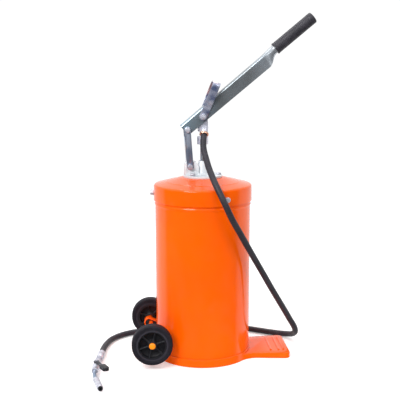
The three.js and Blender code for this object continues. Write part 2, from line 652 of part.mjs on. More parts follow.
function wheelRim() {
  const body = ring([
    [AXLE_R + GAP, -15], [WHEEL.hubR, -15], [WHEEL.hubR, -3], [31, -3], [31, -11], [WHEEL.rimR - GAP, -11],
    [WHEEL.rimR - GAP, 11], [33.5, 11], [31, 2], [WHEEL.hubR, 2], [WHEEL.hubR - 1.5, HUB_FACE],
    [AXLE_R + GAP, HUB_FACE],
  ], 30);
  const spoke = block([WHEEL.hubR - 2, -1.4, 1], [34, 1.4, 9]);
  const spokes = Array.from({ length: WHEEL.spokes }, (_, i) =>
    spoke.clone().rotateZ((2 * Math.PI * i) / WHEEL.spokes + degrees(17)));
  return join(body, ...spokes);
}

function wheelTyre() {
  const half = WHEEL.half;
  const r = WHEEL.r;
  return ring([
    [WHEEL.rimR, -half], [44, -half], [r - 5, -half + 1.5], [r - 1.4, -half + 5], [r, -6.5],
    [r, 6.5], [r - 1.4, half - 5], [r - 5, half - 1.5], [44, half], [WHEEL.rimR, half],
  ], 40);
}

// A push-on cap over the axle's end; +Z is outward, and z = 0 is the hub's face.
function axleCap() {
  const dome = Array.from({ length: 5 }, (_, i) => {
    const angle = (Math.PI / 2) * (i / 4);
    return [CAP_R * Math.cos(angle), 2 + 4.5 * Math.sin(angle)];
  });
  const socket = AXLE_END - WHEEL.y - HUB_FACE + GAP;
  dome[4][0] = 0;
  return turned([[0, socket], [AXLE_R + GAP, socket], [AXLE_R + GAP, GAP], [CAP_R, GAP], ...dome], 20);
}

function bracketSaddle(radius, fromY, toY) {
  const shape = new THREE.Shape();
  shape.moveTo(-90, WHEEL.z + radius);
  shape.absarc(BRACKET.centreX, WHEEL.z, radius, Math.PI / 2, 1.5 * Math.PI, false);
  shape.lineTo(-90, WHEEL.z - radius);
  return plate(shape, fromY, toY, 6);
}

// A saddle welded to the drum over the axle, and the bush inside it, for one side.
function buildAxleBracket(parent, side, centreY) {
  const [low, high] = [centreY - BRACKET.half, centreY + BRACKET.half];
  const innerR = BRACKET.outerR - BRACKET.wall;
  const drum = (clearance) => bar(DRUM_R + clearance, 0, 200, ROUND);
  const hollow = bracketSaddle(innerR, low - 1, high + 1);
  const saddle = cut(bracketSaddle(BRACKET.outerR, low, high), hollow, drum(GAP));
  place(parent, `axle_bracket_${side}`, saddle, paint());
  const axleHole = alongY(bar(AXLE_R + GAP, -200, 200, 20)).translate(WHEEL.x, 0, WHEEL.z);
  const bush = cut(bracketSaddle(innerR - GAP, low + 1, high - 1), axleHole, drum(2));
  place(parent, `axle_bush_${side}`, bush, blackPlastic());
}

function buildWheels(parent) {
  for (const [side, sign] of [['front', -1], ['rear', 1]]) {
    buildAxleBracket(parent, side, sign * BRACKET.y);
    const wheel = group(parent);
    wheel.position.set(WHEEL.x, sign * WHEEL.y, WHEEL.z);
    wheel.rotation.x = -sign * Math.PI / 2;
    place(wheel, `wheel_${side}`, wheelRim(), blackPlastic());
    place(wheel, `tyre_${side}`, wheelTyre(), tyreRubber());
    place(wheel, `axle_cap_${side}`, axleCap().translate(0, 0, HUB_FACE), paint());
  }
  const axle = alongY(bar(AXLE_R, -AXLE_END, AXLE_END, 20)).translate(WHEEL.x, 0, WHEEL.z);
  place(parent, 'axle', axle, paint());
}

// ---- hose and nozzle ----------------------------------------------------------------------

function buildHose(parent) {
  place(parent, 'hose', pipe(HOSE_ROUTE, HOSE_R, HOSE_SIDES, HOSE_STEPS), hoseRubber());
}

// The nozzle lies along local -Y from the hose's end, with local +Z up. Its turned pieces are
// made along +Z, from 0 at the hose end.
const alongNozzle = (geometry) => geometry.clone().rotateX(Math.PI / 2);

function valveBody() {
  const c = VALVE.centre;
  const outside = [
    [7.6, 50], [7.6, 84], [9.2, 88], [10.7, 92], [11, c], [10.7, 103], [9.2, 107], [7.2, 110], [7.2, 119],
  ];
  const cavity = [[4, 119], [4, c + 6.2], [6.2, c + 4.3], [7.6, c + 1.5], [7.6, c - 1.5], [6.2, c - 4.3],
    [4, c - 6.2], [4, 62], [4, 50]];
  const stemHole = bar(VALVE.stemR + GAP, 5, 14, 16).translate(0, -c, 0);
  return cut(alongNozzle(ring([...outside, ...cavity], 20)), stemHole);
}

function buildNozzle(parent) {
  const end = new THREE.Vector3(...HOSE_ROUTE.at(-1));
  const heading = end.sub(NOZZLE_START);
  const nozzle = group(parent);
  nozzle.position.copy(NOZZLE_START);
  nozzle.rotation.z = Math.atan2(heading.y, heading.x) + Math.PI / 2;

  const [wide, bore] = [FERRULE_R, HOSE_R + GAP];
  const ferrule = ring([
    [bore, 0], [wide, 0], [wide, 9], [wide - 0.6, 10.5], [wide, 12], [wide, 31], [7, 33], [7, 42],
    [NOZZLE_BORE_R, 42], [NOZZLE_BORE_R, 23], [bore, 23],
  ], 20);
  place(nozzle, 'hose_ferrule', alongNozzle(ferrule), zinc());
  place(nozzle, 'swivel_nut', alongNozzle(sleeveHex(17, NOZZLE_BORE_R, 42.4, 49.6)), zinc());
  place(nozzle, 'valve_body', valveBody(), zinc());
  place(nozzle, 'outlet_nut', alongNozzle(sleeveHex(15, SPOUT_R + GAP, 119.4, 128)), zinc());
  place(nozzle, 'spout_tube', pipe(SPOUT_ROUTE, SPOUT_R, 12, 12), zinc());

  const [before, last] = SPOUT_ROUTE.slice(-2).map((p) => new THREE.Vector3(...p));
  const outward = last.clone().sub(before).normalize();
  const sleeveStart = last.clone().addScaledVector(outward, -7);
  const spoutSleeve = ring([
    [SPOUT_R + GAP + 0.1, 0], [6.2, 0], [7.5, 3], [7.5, 54], [6.8, 60], [SPOUT_R + GAP + 0.1, 60],
  ], 24);
  place(nozzle, 'spout_sleeve', aimed(spoutSleeve, outward, sleeveStart), zinc());
  const tip = ring([[2.5, 54], [4.5, 54], [4.5, 60.4], [6, 60.4], [6, 64], [2.5, 64]], 20);
  place(nozzle, 'spout_tip', aimed(tip, outward, sleeveStart), blackPlastic());
  buildValveLever(nozzle);
}

const sleeveHex = (acrossFlats, boreR, bottom, top) =>
  cut(hexagon(acrossFlats, bottom, top), bar(boreR, bottom - 1, top + 1, 16));

// The valve's moving pieces, about a vertical stem; the lever points along local +X.
function buildValveLever(nozzle) {
  const moving = group(nozzle);
  moving.position.set(0, -VALVE.centre, 0);
  moving.rotation.z = VALVE.leverAngle;
  const sphere = new THREE.SphereGeometry(VALVE.ballR, 14, 10);
  const ballBore = alongX(bar(3.8, -10, 10, 16));
  place(moving, 'valve_ball', cut(sphere, ballBore), brightSteel());
  const stem = join(bar(VALVE.stemR, VALVE.ballR + GAP, 16, 16), hexagon(8, 15.6, 19));
  place(moving, 'valve_stem', stem, zinc());

  const { bottom, top, end, halfWidth } = VALVE_ARM;
  const arm = new THREE.Shape();
  arm.absarc(0, 0, 7.5, degrees(40), degrees(320), false);
  arm.lineTo(end, -halfWidth);
  arm.lineTo(end, halfWidth);
  const stemClearance = bar(VALVE.stemR + GAP, bottom - 2, top + 1, 16);
  place(moving, 'valve_lever', cut(slab(arm, bottom, top), stemClearance), zinc());

  const [near, far, half] = [ARM_SLEEVE.start, ARM_SLEEVE.end, ARM_SLEEVE.halfWidth];
  const cover = new THREE.Shape([
    [near, -half + 2], [near + 3, -half], [far - 3, -half], [far, -half + 3],
    [far, half - 3], [far - 3, half], [near + 3, half], [near, half - 2],
  ].map((p) => new THREE.Vector2(...p)));
  const middle = (bottom + top) / 2;
  const [low, high] = [middle - ARM_SLEEVE.thickness / 2, middle + ARM_SLEEVE.thickness / 2];
  const pocket = block(
    [near - 1, -halfWidth - GAP, bottom - GAP], [end + GAP, halfWidth + GAP, top + GAP],
  );
  place(moving, 'valve_lever_sleeve', cut(slab(cover, low, high), pocket), blackPlastic());
}

// ---- assembly -----------------------------------------------------------------------------

const pump = new THREE.Group();
buildDrum(pump);
buildPump(pump);
buildRod(pump);
buildLinkage(pump);
buildWheels(pump);
buildHose(pump);
buildNozzle(pump);

export default pump;
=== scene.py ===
"""A wheeled drum pump in Blender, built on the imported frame. Metres, +Z up, as in the frame."""

import math

import bpy
from mathutils import Matrix, Vector


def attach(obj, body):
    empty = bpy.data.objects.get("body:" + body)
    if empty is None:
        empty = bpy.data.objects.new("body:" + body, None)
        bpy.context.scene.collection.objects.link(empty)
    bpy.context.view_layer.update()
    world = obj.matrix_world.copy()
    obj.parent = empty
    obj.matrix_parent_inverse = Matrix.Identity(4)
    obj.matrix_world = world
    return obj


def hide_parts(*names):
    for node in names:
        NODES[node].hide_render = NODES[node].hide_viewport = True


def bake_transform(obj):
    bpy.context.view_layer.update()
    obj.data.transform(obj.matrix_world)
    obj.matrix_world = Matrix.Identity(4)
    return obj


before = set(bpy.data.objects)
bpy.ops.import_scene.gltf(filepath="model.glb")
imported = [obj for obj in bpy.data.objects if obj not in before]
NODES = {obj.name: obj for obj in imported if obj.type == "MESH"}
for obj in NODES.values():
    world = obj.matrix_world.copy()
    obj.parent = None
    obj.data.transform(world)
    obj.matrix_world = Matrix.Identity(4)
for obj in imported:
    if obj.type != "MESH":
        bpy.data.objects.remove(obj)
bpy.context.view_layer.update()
MM = 0.001


# ---- camera -------------------------------------------------------------------------------

LENS_MM = 72.84
CAMERA_PLACE = (-0.1712, -2.1030, 0.7731)
CAMERA_FORWARD = (0.0767, 0.9831, -0.1663)


def add_camera():
    data = bpy.data.cameras.new("camera")
    data.sensor_width = 36.0
    data.lens = LENS_MM
    data.clip_end = 50.0
    camera = bpy.data.objects.new("camera", data)
    bpy.context.scene.collection.objects.link(camera)
    camera.location = CAMERA_PLACE
    camera.rotation_euler = Vector(CAMERA_FORWARD).to_track_quat("-Z", "Y").to_euler()
    bpy.context.scene.camera = camera


add_camera()


# ---- mesh helpers -------------------------------------------------------------------------

def piece(name, verts, faces, material, body, node, sharp, uvs=None):
    """A smooth-shaded mesh object, in metres, that stands for a CAD node and may ride on a body.

    Edges sharper than `sharp` degrees stay crisp.
    """
    mesh = bpy.data.meshes.new(name)
    mesh.from_pydata(verts, [], faces)
    mesh.validate()
    if uvs:
        layer = mesh.uv_layers.new(name="UVMap")
        for loop in mesh.loops:
            layer.data[loop.index].uv = uvs[loop.vertex_index]
    mesh.polygons.foreach_set("use_smooth", [True] * len(mesh.polygons))
    mesh.set_sharp_from_angle(angle=math.radians(sharp))
    obj = bpy.data.objects.new(name, mesh)
    bpy.context.scene.collection.objects.link(obj)
    mesh.materials.append(material)
    if body:
        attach(obj, body)
    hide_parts(node)
    return obj


def bevel(obj, width_mm, angle):
    """Rounds the edges that turn by more than `angle` degrees."""
    modifier = obj.modifiers.new("edge", "BEVEL")
    modifier.width = width_mm * MM
    modifier.segments = 2
    modifier.limit_method = "ANGLE"
    modifier.angle_limit = math.radians(angle)
    modifier.use_clamp_overlap = True
    modifier.harden_normals = True


def lathe_data(profile, segments, closed=False):
    """Vertices in metres and faces of a profile of (radius, height) pairs in mm, turned about +Z."""
    verts = []
    for r, z in profile:
        for k in range(segments):
            a = 2 * math.pi * k / segments
            verts.append((r * math.cos(a) * MM, r * math.sin(a) * MM, z * MM))
    rows = len(profile)
    faces = []
    for i in range(rows if closed else rows - 1):
        j = (i + 1) % rows
        for k in range(segments):
            n = (k + 1) % segments
            faces.append((i * segments + k, i * segments + n, j * segments + n, j * segments + k))
    return verts, faces


def moved(verts, matrix):
    """The vertices, placed by the matrix."""
    return [tuple(matrix @ Vector(v)) for v in verts]


def arc(cx, cy, radius, start, end, steps):
    """Points on an arc, both ends included, with its angles in degrees."""
    out = []
    for i in range(steps + 1):
        a = math.radians(start + (end - start) * i / steps)
        out.append((cx + radius * math.cos(a), cy + radius * math.sin(a)))
    return out


def smooth(t):
    """An eased step from 0 to 1."""
    t = min(max(t, 0.0), 1.0)
    return t * t * (3 - 2 * t)


def catmull(points, steps):
    """A centripetal Catmull-Rom line through the points, with `steps` per span."""
    pts = [2 * points[0] - points[1], *points, 2 * points[-1] - points[-2]]
    line = []
    for i in range(1, len(pts) - 2):
        p0, p1, p2, p3 = pts[i - 1:i + 3]
        d0, d1, d2 = [math.sqrt((b - a).length) for a, b in ((p0, p1), (p1, p2), (p2, p3))]
        m1 = ((p1 - p0) / d0 - (p2 - p0) / (d0 + d1) + (p2 - p1) / d1) * d1
        m2 = ((p2 - p1) / d1 - (p3 - p1) / (d1 + d2) + (p3 - p2) / d2) * d1
        for k in range(steps):
            t = k / steps
            line.append(
                p1 * (2 * t ** 3 - 3 * t ** 2 + 1) + m1 * (t ** 3 - 2 * t ** 2 + t)
                + p2 * (-2 * t ** 3 + 3 * t ** 2) + m2 * (t ** 3 - t ** 2)
            )
    line.append(pts[-2])
    return line


def tube_data(line, radius, sides):
    """A closed tube along a line, with a uv of (metres along, 1 to 0 and back to 1 on the way round)."""
    verts, faces, uvs = [], [], []
    tangent = (line[1] - line[0]).normalized()
    side = tangent.orthogonal().normalized()
    travelled = 0.0
    for i, point in enumerate(line):
        ahead = line[min(i + 1, len(line) - 1)] - line[max(i - 1, 0)]
        fresh = ahead.normalized()
        side = (tangent.rotation_difference(fresh) @ side).normalized()
        tangent = fresh
        other = tangent.cross(side)
        if i:
            travelled += (point - line[i - 1]).length
        for k in range(sides):
            a = 2 * math.pi * k / sides
            verts.append(tuple(point + radius * (math.cos(a) * side + math.sin(a) * other)))
            uvs.append((travelled, abs(2 * k / sides - 1)))
    for i in range(len(line) - 1):
        for k in range(sides):
            n = (k + 1) % sides
            faces.append((i * sides + k, i * sides + n, (i + 1) * sides + n, (i + 1) * sides + k))
    faces.append(tuple(reversed(range(sides))))
    faces.append(tuple(range((len(line) - 1) * sides, len(line) * sides)))
    return verts, faces, uvs


# ---- materials ----------------------------------------------------------------------------

class Nodes:
    """A short way to wire one material's nodes."""

    def __init__(self, name):
        self.material = bpy.data.materials.new(name)
        self.material.use_nodes = True
        self.tree = self.material.node_tree
        self.shader = self.tree.nodes["Principled BSDF"]
        self.coords = self.add("ShaderNodeTexCoord").outputs["Object"]

    def add(self, kind, **settings):
        node = self.tree.nodes.new(kind)
        for key, value in settings.items():
            setattr(node, key, value)
        return node

    def link(self, source, target):
        self.tree.links.new(source, target)

    def noise(self, scale, detail=3.0, roughness=0.55, stretch=None):
        coords = self.coords
        if stretch:
            mapping = self.add("ShaderNodeMapping")
            mapping.inputs["Scale"].default_value = stretch
            self.link(coords, mapping.inputs["Vector"])
            coords = mapping.outputs["Vector"]
        node = self.add("ShaderNodeTexNoise")
        node.inputs["Scale"].default_value = scale
        node.inputs["Detail"].default_value = detail
        node.inputs["Roughness"].default_value = roughness
        self.link(coords, node.inputs["Vector"])
        return node.outputs["Fac"]

    def spread(self, value, low, high, from_low=0.3, from_high=0.7):
        """Maps the span from_low to from_high onto low to high, and clamps."""
        node = self.add("ShaderNodeMapRange")
        limits = (("From Min", from_low), ("From Max", from_high), ("To Min", low), ("To Max", high))
        for key, number in limits:
            node.inputs[key].default_value = number
        self.link(value, node.inputs["Value"])
        return node.outputs["Result"]

    def mix(self, factor, first, second):
        node = self.add("ShaderNodeMix", data_type="RGBA")
        self.link(factor, node.inputs["Factor"])
        for source, socket in ((first, node.inputs[6]), (second, node.inputs[7])):
            if isinstance(source, tuple):
                socket.default_value = (*source, 1.0)
            else:
                self.link(source, socket)
        return node.outputs[2]

    def edges(self, low=0.52, high=0.60):
        """About 1 along outer edges and 0 elsewhere."""
        return self.spread(self.add("ShaderNodeNewGeometry").outputs["Pointiness"], 0.0, 1.0, low, high)

    def multiply(self, first, second):
        node = self.add("ShaderNodeMath", operation="MULTIPLY")
        self.link(first, node.inputs[0])
        if isinstance(second, float):
            node.inputs[1].default_value = second
        else:
            self.link(second, node.inputs[1])
        return node.outputs[0]

    def bumps(self, *layers):
        """Bump layers of (height, distance in metres, strength), one on the other."""
        normal = None
        for height, distance, strength in layers:
            node = self.add("ShaderNodeBump")
            node.inputs["Distance"].default_value = distance
            node.inputs["Strength"].default_value = strength
            self.link(height, node.inputs["Height"])
            if normal:
                self.link(normal, node.inputs["Normal"])
            normal = node.outputs["Normal"]
        self.link(normal, self.shader.inputs["Normal"])

    def set(self, **values):
        for key, value in values.items():
            self.shader.inputs[key.replace("_", " ")].default_value = value

    def colour(self, source):
        self.link(source, self.shader.inputs["Base Color"])

    def rough(self, source):
        self.link(source, self.shader.inputs["Roughness"])


def enamel(name, deep, clear):
    """Glossy orange stove enamel: faint orange peel, small tone shifts, lighter orange patches along the
    edges (wear with a painted highlight) and dust.
    """
    n = Nodes(name)
    n.set(Coat_Weight=0.15, Coat_Roughness=0.04, Specular_IOR_Level=0.32)
    tone = n.mix(n.spread(n.noise(6.0, 2.0), 0.0, 1.0), deep, clear)
    flecks = n.spread(n.noise(420.0, 1.0), 0.0, 0.18, 0.68, 0.80)
    speckled = n.mix(flecks, tone, (0.78, 0.050, 0.0))
    # lighter orange in patches along the edges: partly wear, partly a painted edge highlight
    wear_and_sheen = n.multiply(n.edges(0.56, 0.68), n.spread(n.noise(140.0), 0.0, 0.45, 0.45, 0.7))
    n.colour(n.mix(wear_and_sheen, speckled, (1.0, 0.24, 0.08)))
    n.rough(n.spread(n.noise(38.0, 4.0), 0.10, 0.20))
    n.bumps((n.noise(620.0, 2.0), 0.0004, 0.03), (n.noise(9.0, 1.0), 0.002, 0.025))
    return n.material


def plated(name, light, dark, rough, metallic=0.75, patches=(14.0, 1, 1, 1), tint_and_reflection=None, reflection_fades=()):
    """Zinc or chrome plate: clouds of two tones, patches of a second colour, painted reflections along X and
    a painted highlight along the edges.

    `patches` is the clouds' scale, then its factors along X, Y and Z. `tint_and_reflection` is the patches'
    second colour, on the bail a painted reflection of the orange paint. Each of `reflection_fades` is
    (start, end, shade), in metres along X: a painted reflection that grows over that span.
    """
    n = Nodes(name)
    n.set(Metallic=metallic)
    tone = n.mix(n.spread(n.noise(patches[0], 2.0, 0.5, patches[1:]), 0.0, 1.0, 0.38, 0.62), dark, light)
    # patches of a second colour; on the bail these are a painted reflection of the orange paint
    if tint_and_reflection:
        tone = n.mix(n.spread(n.noise(patches[0] * 0.8, 1.0), 0.0, 0.6, 0.52, 0.64), tone, tint_and_reflection)
    # painted reflections: stretches along X mixed towards a lighter or tinted tone
    for start, end, shade in reflection_fades:
        along = n.add("ShaderNodeSeparateXYZ")
        n.link(n.coords, along.inputs[0])
        tone = n.mix(n.spread(along.outputs["X"], 0.0, 0.75, start, end), tone, shade)
    # painted highlight: the edges mixed towards near white
    n.colour(n.mix(n.multiply(n.edges(0.56, 0.72), 0.4), tone, (0.90, 0.92, 0.96)))
    n.rough(n.spread(n.noise(24.0, 2.0), rough - 0.04, rough + 0.04))
    n.bumps((n.noise(700.0, 2.0), 0.0001, 0.02), (n.noise(30.0, 1.0), 0.0006, 0.02))
    return n.material


def cast_alloy():
    """Light grey sand casting with a fine grain."""
    n = Nodes("cast_alloy")
    n.set(Metallic=0.2)
    tone = n.mix(n.spread(n.noise(30.0, 4.0), 0.0, 1.0), (0.56, 0.60, 0.63), (0.74, 0.77, 0.80))
    pits = n.spread(n.noise(700.0, 2.0), 0.0, 0.4, 0.62, 0.80)
    grained = n.mix(pits, tone, (0.40, 0.42, 0.44))
    # painted highlight: the edges mixed towards near white
    n.colour(n.mix(n.edges(), grained, (0.95, 0.96, 0.97)))
    n.rough(n.spread(n.noise(90.0), 0.48, 0.64))
    n.bumps((n.noise(520.0, 3.0), 0.0006, 0.30), (n.noise(45.0, 2.0), 0.0015, 0.12))
    return n.material


def rubber(name, dark, light, rough_low, rough_high, grain=900.0, bump=0.2, gloss=0.4):
    """Matt rubber or plastic with a fine grain, dusty patches and a painted highlight along its edges."""
    n = Nodes(name)
    n.set(Specular_IOR_Level=gloss)
    tone = n.mix(n.spread(n.noise(35.0, 4.0), 0.0, 1.0), dark, light)
    dust = n.spread(n.noise(240.0, 3.0), 0.0, 0.35, 0.55, 0.80)
    dusty = n.mix(dust, tone, tuple(min(c * 1.7 + 0.01, 1.0) for c in light))
    # painted highlight: the edges mixed towards a much lighter tone
    n.colour(n.mix(n.multiply(n.edges(), 0.6), dusty, tuple(c * 2.1 + 0.01 for c in light)))
    n.rough(n.spread(n.noise(60.0), rough_low, rough_high))
    n.bumps((n.noise(grain, 2.0), 0.0004, bump))
    return n.material


def wrapped_rubber():
    """The hose's cover: dark grey rubber with the fine helical print of its cloth wrapping."""
    n = Nodes("hose_rubber")
    n.set(Specular_IOR_Level=0.35)
    uv = n.add("ShaderNodeTexCoord").outputs["UV"]
    mapping = n.add("ShaderNodeMapping")
    mapping.inputs["Scale"].default_value = (1.0, 0.012, 1.0)
    n.link(uv, mapping.inputs["Vector"])
    wave = n.add("ShaderNodeTexWave", wave_type="BANDS", bands_direction="DIAGONAL")
    wave.inputs["Scale"].default_value = 95.0
    wave.inputs["Distortion"].default_value = 0.4
    n.link(mapping.outputs["Vector"], wave.inputs["Vector"])
    tone = n.mix(n.spread(n.noise(26.0, 4.0), 0.0, 1.0), (0.018, 0.016, 0.022), (0.038, 0.034, 0.044))
    print_tone = n.mix(n.multiply(wave.outputs["Fac"], 0.25), tone, (0.060, 0.055, 0.070))
    n.colour(print_tone)
    n.rough(n.spread(n.noise(70.0), 0.40, 0.58))
    n.bumps((wave.outputs["Fac"], 0.0004, 0.18), (n.noise(800.0, 2.0), 0.0003, 0.12))
    return n.material


def copper():
    """Satin copper, with a painted highlight along its edges."""
    n = Nodes("copper")
    n.set(Metallic=1.0)
    tone = n.mix(n.spread(n.noise(160.0, 3.0), 0.0, 1.0), (0.55, 0.24, 0.14), (0.80, 0.45, 0.30))
    # painted highlight along the edges
    n.colour(n.mix(n.edges(), tone, (0.95, 0.66, 0.50)))
    n.rough(n.spread(n.noise(300.0), 0.22, 0.42))
    n.bumps((n.noise(500.0), 0.0003, 0.15))
    return n.material


def brass():
    """Turned brass, with a painted highlight along its edges."""
    n = Nodes("brass")
    n.set(Metallic=1.0)
    tone = n.mix(n.spread(n.noise(120.0, 3.0), 0.0, 1.0), (0.50, 0.36, 0.12), (0.74, 0.56, 0.25))
    # painted highlight along the edges
    n.colour(n.mix(n.edges(), tone, (0.92, 0.80, 0.50)))
    n.rough(n.spread(n.noise(260.0), 0.20, 0.38))
    n.bumps((n.noise(400.0), 0.0003, 0.10))
    return n.material


ENAMEL = enamel("orange_enamel", (0.97, 0.104, 0.0), (1.0, 0.124, 0.0))
# a lighter copy of the enamel for the axle caps: their sheen painted in as colour
SHEEN_CAP_ENAMEL = enamel("cap_enamel_painted_sheen", (1.0, 0.24, 0.006), (1.0, 0.30, 0.012))
# the lever's teal rear end and light front end are painted reflections, laid along X
LEVER_PLATE = plated(
    "lever_plate", (0.42, 0.46, 0.50), (0.23, 0.26, 0.27), 0.28, 0.75, (9.0, 1, 1, 1), (0.34, 0.46, 0.56),
    ((0.02, -0.04, (0.40, 0.56, 0.66)), (0.09, 0.19, (0.66, 0.68, 0.72))),
)
# the bail's reddish patches are a painted reflection of the orange paint
BAIL_PLATE = plated(
    "bail_plate", (0.80, 0.82, 0.94), (0.13, 0.17, 0.32), 0.24, 0.6, (34.0, 0.6, 0.6, 1), (0.62, 0.30, 0.24),
)
BLUE_ZINC = plated(
    "blue_zinc", (0.56, 0.64, 0.78), (0.30, 0.38, 0.52), 0.32, 0.75, (26.0, 1, 1, 1), (0.60, 0.42, 0.34),
)
BRIGHT_ZINC = plated("bright_zinc", (0.76, 0.77, 0.86), (0.52, 0.53, 0.61), 0.30, 0.45, (70.0, 1, 1, 1))
DARK_STEEL = plated("dark_steel", (0.16, 0.16, 0.19), (0.05, 0.05, 0.06), 0.34, 0.6, (90.0, 1, 1, 1))
POLISHED = plated("polished_steel", (0.82, 0.83, 0.86), (0.66, 0.67, 0.71), 0.18, 0.9, (40.0, 1, 1, 0.2))
CAST = cast_alloy()
COPPER = copper()
BRASS = brass()
HOSE = wrapped_rubber()
GRIP = rubber("grip_rubber", (0.020, 0.019, 0.025), (0.045, 0.042, 0.054), 0.38, 0.55, 500.0, 0.25)
TYRE = rubber("tyre_rubber", (0.010, 0.009, 0.013), (0.020, 0.018, 0.025), 0.48, 0.64, 700.0, 0.3, 0.15)
RIM = rubber("rim_plastic", (0.004, 0.004, 0.006), (0.010, 0.010, 0.013), 0.34, 0.50, 380.0, 0.12)
BLACK = rubber("black_plastic", (0.006, 0.006, 0.008), (0.016, 0.016, 0.020), 0.35, 0.55, 600.0, 0.15)
SEAL = rubber("seal_rubber", (0.006, 0.006, 0.007), (0.016, 0.016, 0.018), 0.35, 0.50, 600.0, 0.1)


# ---- hose ---------------------------------------------------------------------------------

HOSE_ROUTE = [
    (2, -21, 596), (0.5, -27, 586.5), (-1.5, -43, 561), (5, -71, 528), (9, -88, 512),
    (21, -123, 479), (31, -140, 457), (45, -150, 427), (62, -147, 391), (83, -134, 354),
    (105, -115, 315), (129, -92, 273), (155, -66, 228), (179, -45, 186), (203.5, -24, 144.5),
    (224, -7, 110), (241.5, 10, 80), (254.5, 20, 58), (262, 35, 39.5), (263.5, 53, 27),
    (259.5, 69.5, 18), (252.5, 83, 13), (235, 101.5, 8.5), (199.5, 119.5, 8.5),
    (167, 139, 8.4), (132, 159, 8.4), (106, 168, 8.4), (70, 176, 8.4), (25, 180, 8.4),
    (-20, 180, 8.4), (-70, 175, 8.4), (-115, 167, 8.4), (-160, 156, 8.4), (-195, 142, 8.4),
    (-225, 120, 8.4), (-248, 90, 8.4), (-262, 50, 8.8), (-269, 10, 9.8), (-272, -27, 11),
    (-274, -47, 11),
]
HOSE_DIAMETER = 0.016


def add_hose():
    """The hose, bent along its route."""
    line = catmull([Vector(p) * MM for p in HOSE_ROUTE], steps=8)
    verts, faces, uvs = tube_data(line, HOSE_DIAMETER / 2, sides=20)
    hose = piece("delivery_hose", verts, faces, HOSE, None, "hose", 60, uvs)
    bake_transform(hose)


add_hose()


# ---- drum and lid -------------------------------------------------------------------------

DRUM_R, DRUM_TOP = 125, 455
SHEET = 1.5
DRUM_SEGMENTS = 160


def add_drum():
    """An open drum of sheet steel with a rounded bottom edge and a bead just under the lid."""
    outer = [(0, 0), (121.5, 0), *arc(122, 3, 3, -90, 0, 5)]
    bead = [
        (DRUM_R, 405), (125.3, 407.2), (126.3, 409.2), (126.8, 411),
        (126.3, 412.8), (125.3, 414.8), (DRUM_R, 417),
    ]
    inside = DRUM_R - SHEET
    inner = [(DRUM_R, DRUM_TOP), (inside, DRUM_TOP), (inside, 4), (121.4, SHEET), (0, SHEET)]
    verts, faces = lathe_data(outer + bead + inner, DRUM_SEGMENTS)
    piece("drum_body", verts, faces, ENAMEL, "root", "drum_shell", 50)


def add_lid():
    """A pressed lid: a rolled rim, a rounded shoulder, a crease, and a crown with a hole for the pump."""
    roll = arc(127.7, 420.6, 1.3, 180, 360, 6)
    shoulder = arc(122.6, 456, 6, 0, 78, 8)
    crease = [(100, 467.3), (97, 468.0), (95.4, 468.9), (94, 469.6), (92.4, 469.6), (90.5, 469.9)]
    crown = [(60, 478.4), (57, 479.2), (55, 479.5), (22, 479.5)]
    under = [(22, 478), (56, 478), (95, 467), *reversed(arc(122.6, 456, 4.5, 0, 90, 4)), (127.1, 424)]
    verts, faces = lathe_data(roll + shoulder + crease + crown + under, DRUM_SEGMENTS, closed=True)
    piece("lid_cover", verts, faces, ENAMEL, "root", "drum_lid", 50)


# ---- lever and grip -----------------------------------------------------------------------

PIVOT = Vector((0, 0, 638 * MM))
LEVER_RISE = 39.6         # degrees above level, at rest
LEVER_FRAME = Matrix.Translation(PIVOT) @ Matrix.Rotation(math.radians(-LEVER_RISE), 4, "Y")
CHANNEL = {"half": 17.9, "bottom": -13, "rear_top": 19.2, "front_top": 22, "rear": -61, "front": 213}
CHANNEL_WALL, TUBE_WALL = 3, 2.5
NECK_END = 250            # where the channel has closed into the tube
NECK_STEPS = 14
TUBE = {"r": 12, "centre": 13.2, "end": 372}


def lever_row(x):
    """The lever's section at x, outside then inside, as (y, z) pairs in mm."""
    along = min((x - CHANNEL["rear"]) / (CHANNEL["front"] - CHANNEL["rear"]), 1)
    top = CHANNEL["rear_top"] + (CHANNEL["front_top"] - CHANNEL["rear_top"]) * along
    closing = smooth((x - CHANNEL["front"]) / (NECK_END - CHANNEL["front"]))

    def channel(inset):
        half = CHANNEL["half"] - inset
        corner = 5 - 0.8 * inset
        z = top - inset - corner
        left = arc(corner - half, z, corner, 180, 90, 7)
        right = arc(half - corner, z, corner, 90, 0, 7)
        walls = [CHANNEL["bottom"], -8, -3, 2, 7]
        return [(-half, h) for h in walls] + left + right + [(half, h) for h in reversed(walls)]

    def tube(inset, count):
        radius = TUBE["r"] - inset
        return [
            (radius * math.cos(a), TUBE["centre"] + radius * math.sin(a))
            for a in (math.radians(-98 - 344 * i / (count - 1)) for i in range(count))
        ]

    rows = []
    for inset, tube_inset in ((0, 0), (CHANNEL_WALL, TUBE_WALL)):
        flat = channel(inset)
        round_ = tube(tube_inset, len(flat))
        rows.append([
            (a[0] + (b[0] - a[0]) * closing, a[1] + (b[1] - a[1]) * closing) for a, b in zip(flat, round_)
        ])
    return rows[0] + rows[1][::-1]


